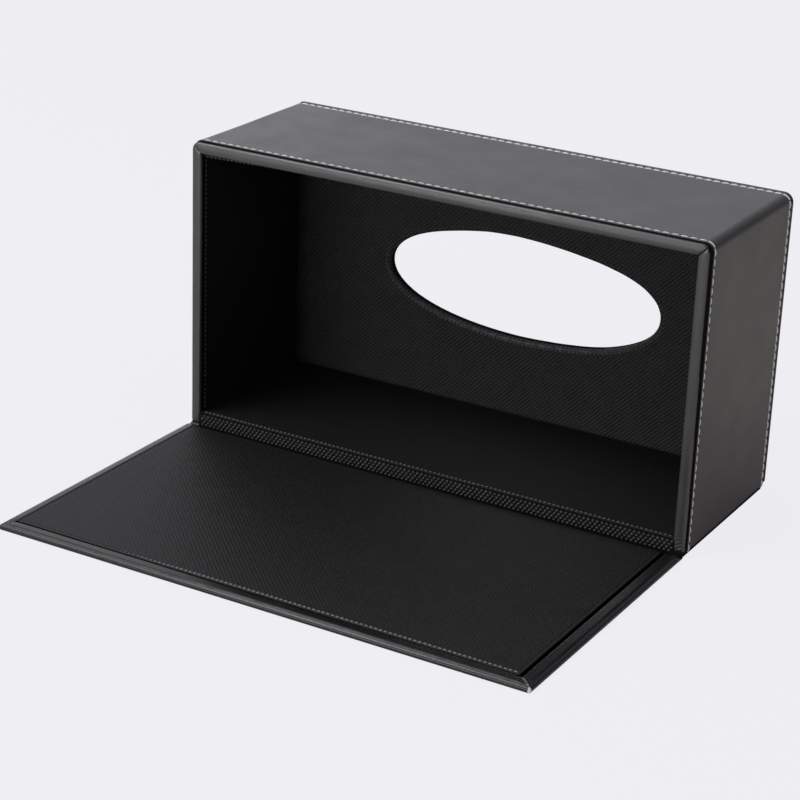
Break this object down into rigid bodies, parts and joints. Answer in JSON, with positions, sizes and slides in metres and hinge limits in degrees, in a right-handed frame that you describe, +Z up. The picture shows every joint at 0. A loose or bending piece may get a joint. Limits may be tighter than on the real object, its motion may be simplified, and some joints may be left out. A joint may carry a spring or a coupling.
{
  "type": "tissue box cover",
  "caption": "Rectangular leather-covered tissue box cover lying on a long wall, with an oval tissue slot in its back and a hinged flap open flat in front.",
  "frame": {"origin": "on the surface it lies on, under the middle of the footprint of the box and its open flap", "axes": "+X along the length, +Y from the open flap towards the back wall with the slot, +Z up"},
  "size_m": [0.25, 0.226, 0.137],
  "materials": {
    "outer_leather": "satin",
    "lining_fabric": "matt, embossed with a fine dot lattice",
    "grey_board": "raw",
    "magnet": "plain"
  },
  "bodies": {
    "box": {"base_board": "grey_board", "back_board": "grey_board", "top_board": "grey_board", "bottom_board": "grey_board", "left_board": "grey_board", "right_board": "grey_board", "sleeve_leather": "outer_leather", "base_leather": "outer_leather", "back_leather": "outer_leather", "rim_binding_top": "outer_leather", "rim_binding_left": "outer_leather", "rim_binding_right": "outer_leather", "lining_back": "lining_fabric", "lining_top": "lining_fabric", "lining_bottom": "lining_fabric", "lining_left": "lining_fabric", "lining_right": "lining_fabric", "lip_fabric": "lining_fabric", "hinge_leather": "outer_leather", "hinge_fabric": "lining_fabric", "box_magnet_left": "magnet", "box_magnet_right": "magnet"},
    "flap": {"flap_board": "grey_board", "flap_leather": "outer_leather", "flap_lining": "lining_fabric", "flap_magnet_left": "magnet", "flap_magnet_right": "magnet"}
  },
  "joints": [
    {"name": "flap_hinge", "type": "hinge", "parent": "box", "child": "flap", "pos_m": [0, 0.02205, 0.00045], "axis": [-1, 0, 0], "range_deg": [0, 90], "deforming": ["hinge_leather", "hinge_fabric"]}
  ]
}
